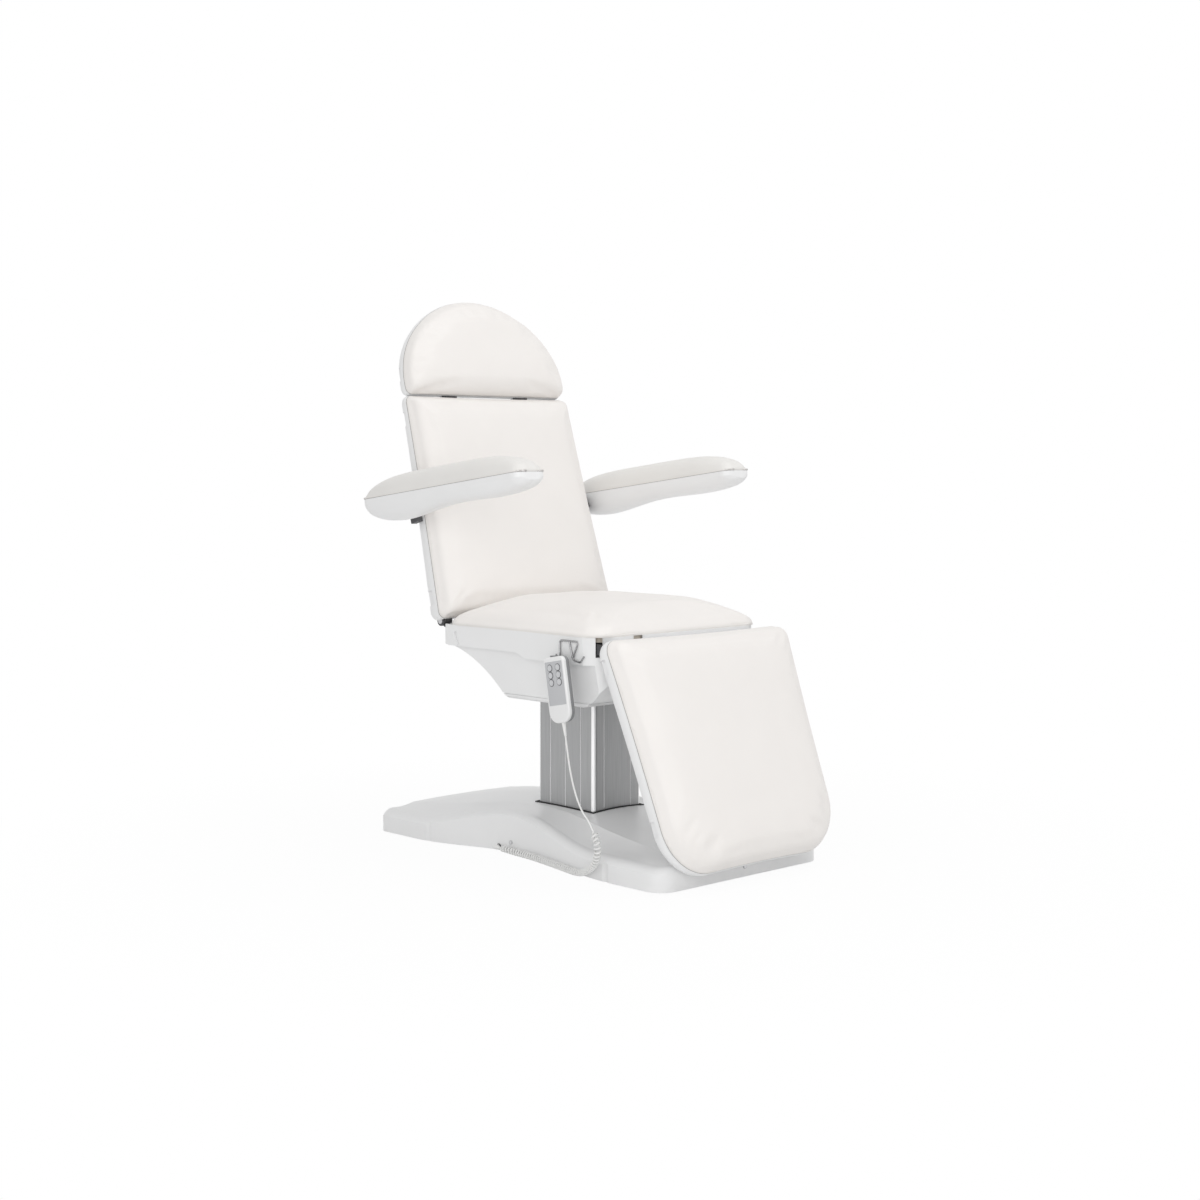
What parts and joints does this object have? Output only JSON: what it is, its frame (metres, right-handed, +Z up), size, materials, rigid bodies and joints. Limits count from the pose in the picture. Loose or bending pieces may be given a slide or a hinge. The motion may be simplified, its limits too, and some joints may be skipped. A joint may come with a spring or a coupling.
{
  "type": "electric beauty chair",
  "caption": "Powered treatment chair on a lifting column with a reclining back, raising leg rest, tilting headrest, levelling armrests and a corded handset.",
  "frame": {"origin": "on the floor under the middle of the chair's overall box", "axes": "+Z up, the sitter faces -Y, the handset hangs on the -X side"},
  "size_m": [0.786, 1.0817, 1.3529],
  "materials": {
    "white_shell": "satin white moulded plastic",
    "leatherette": "soft off-white leatherette",
    "arm_leatherette": "soft light grey leatherette",
    "satin_aluminium": "satin brushed aluminium",
    "dark_steel": "black powder coat",
    "bright_steel": "ground steel",
    "chrome_wire": "bright chrome",
    "black_plastic": "black moulded plastic",
    "slip_plastic": "pale slip plastic",
    "rubber_foot": "black rubber",
    "plywood": "birch plywood",
    "handset_white": "fine satin white plastic",
    "handset_grey": "mid grey plastic",
    "panel_grey": "grey membrane",
    "key_grey": "grey key caps with a darker ring",
    "cord_white": "off-white cord jacket"
  },
  "bodies": {
    "base": {"base_cover": "white_shell", "base_frame": "dark_steel", "levelling_feet": "rubber_foot", "cover_screws": "bright_steel", "power_inlet": "black_plastic", "cord_socket": "black_plastic", "column_outer": "satin_aluminium", "column_bolts": "bright_steel", "column_seal": "rubber_foot", "lift_motor": "black_plastic", "cord_coil": "cord_white", "cord_plug": "cord_white"},
    "column_stage_body": {"column_middle": "satin_aluminium", "middle_glides": "slip_plastic"},
    "carriage": {"column_inner": "satin_aluminium", "inner_glides": "slip_plastic", "lift_spindle": "bright_steel", "seat_frame": "dark_steel", "seat_tub": "white_shell", "seat_board": "plywood", "seat_cushion": "leatherette", "back_hinge_pins": "bright_steel", "leg_hinge_pins": "bright_steel", "control_box": "black_plastic", "back_motor": "black_plastic", "leg_motor": "black_plastic", "handset_front": "handset_white", "handset_back": "handset_grey", "keypad_panel": "panel_grey", "cord_relief": "cord_white", "handset_hook": "chrome_wire", "cord_lead": "cord_white"},
    "back": {"back_frame": "dark_steel", "back_board": "plywood", "back_shell": "white_shell", "back_cushion": "leatherette", "arm_pivots": "dark_steel", "head_hinge_pin": "bright_steel"},
    "head": {"head_leaf": "dark_steel", "head_board": "plywood", "head_shell": "white_shell", "head_cushion": "leatherette"},
    "arm_right": {"arm_shell_right": "white_shell", "arm_pad_right": "arm_leatherette"},
    "arm_left": {"arm_shell_left": "white_shell", "arm_pad_left": "arm_leatherette"},
    "leg": {"leg_frame": "dark_steel", "leg_board": "plywood", "leg_shell": "white_shell", "leg_cushion": "leatherette"},
    "back_push": {"back_rod": "bright_steel"},
    "leg_push": {"leg_rod": "bright_steel"},
    "key_body_1": {"key_1": "key_grey"},
    "key_body_2": {"key_2": "key_grey"},
    "key_body_3": {"key_3": "key_grey"},
    "key_body_4": {"key_4": "key_grey"},
    "key_body_5": {"key_5": "key_grey"},
    "key_body_6": {"key_6": "key_grey"}
  },
  "joints": [
    {"name": "column_lift", "type": "slide", "parent": "base", "child": "carriage", "axis": [0, 0, 1], "range_m": [0, 0.25], "deforming": ["cord_coil"]},
    {"name": "column_stage", "type": "slide", "parent": "base", "child": "column_stage_body", "axis": [0, 0, 1], "range_m": [0, 0.125]},
    {"name": "back_recline", "type": "hinge", "parent": "carriage", "child": "back", "pos_m": [0, 0.28505, 0.548], "axis": [-1, 0, 0], "range_deg": [0, 73.9]},
    {"name": "head_tilt", "type": "hinge", "parent": "back", "child": "head", "pos_m": [0, 0.43539, 1.09798], "axis": [1, 0, 0], "range_deg": [-30, 10]},
    {"name": "arm_right_level", "type": "hinge", "parent": "back", "child": "arm_right", "pos_m": [0, 0.36451, 0.81817], "axis": [-1, 0, 0], "range_deg": [-81.07, 0]},
    {"name": "arm_left_level", "type": "hinge", "parent": "back", "child": "arm_left", "pos_m": [0, 0.36451, 0.81817], "axis": [-1, 0, 0], "range_deg": [-81.07, 0]},
    {"name": "leg_raise", "type": "hinge", "parent": "carriage", "child": "leg", "pos_m": [0, -0.29695, 0.518], "axis": [-1, 0, 0], "range_deg": [0, 68.7]},
    {"name": "back_rod_slide", "type": "slide", "parent": "carriage", "child": "back_push", "axis": [0, -1, 0], "range_m": [0, 0.09451]},
    {"name": "leg_rod_slide", "type": "slide", "parent": "carriage", "child": "leg_push", "axis": [0, -1, 0], "range_m": [0, 0.08511]},
    {"name": "key_1_press", "type": "slide", "parent": "carriage", "child": "key_body_1", "axis": [1, 0, 0], "range_m": [0, 0.0008], "stiffness_N_per_m": 800, "springref_m": -0.0006},
    {"name": "key_2_press", "type": "slide", "parent": "carriage", "child": "key_body_2", "axis": [1, 0, 0], "range_m": [0, 0.0008], "stiffness_N_per_m": 800, "springref_m": -0.0006},
    {"name": "key_3_press", "type": "slide", "parent": "carriage", "child": "key_body_3", "axis": [1, 0, 0], "range_m": [0, 0.0008], "stiffness_N_per_m": 800, "springref_m": -0.0006},
    {"name": "key_4_press", "type": "slide", "parent": "carriage", "child": "key_body_4", "axis": [1, 0, 0], "range_m": [0, 0.0008], "stiffness_N_per_m": 800, "springref_m": -0.0006},
    {"name": "key_5_press", "type": "slide", "parent": "carriage", "child": "key_body_5", "axis": [1, 0, 0], "range_m": [0, 0.0008], "stiffness_N_per_m": 800, "springref_m": -0.0006},
    {"name": "key_6_press", "type": "slide", "parent": "carriage", "child": "key_body_6", "axis": [1, 0, 0], "range_m": [0, 0.0008], "stiffness_N_per_m": 800, "springref_m": -0.0006}
  ],
  "couplings": [
    {"joint": "column_stage", "follows": "column_lift", "ratio": 0.5},
    {"joint": "arm_right_level", "follows": "back_recline", "ratio": -1.0969},
    {"joint": "arm_left_level", "follows": "back_recline", "ratio": -1.0969},
    {"joint": "back_rod_slide", "follows": "back_recline", "m_per_rad": 0.072891},
    {"joint": "leg_rod_slide", "follows": "leg_raise", "m_per_rad": 0.070562}
  ]
}
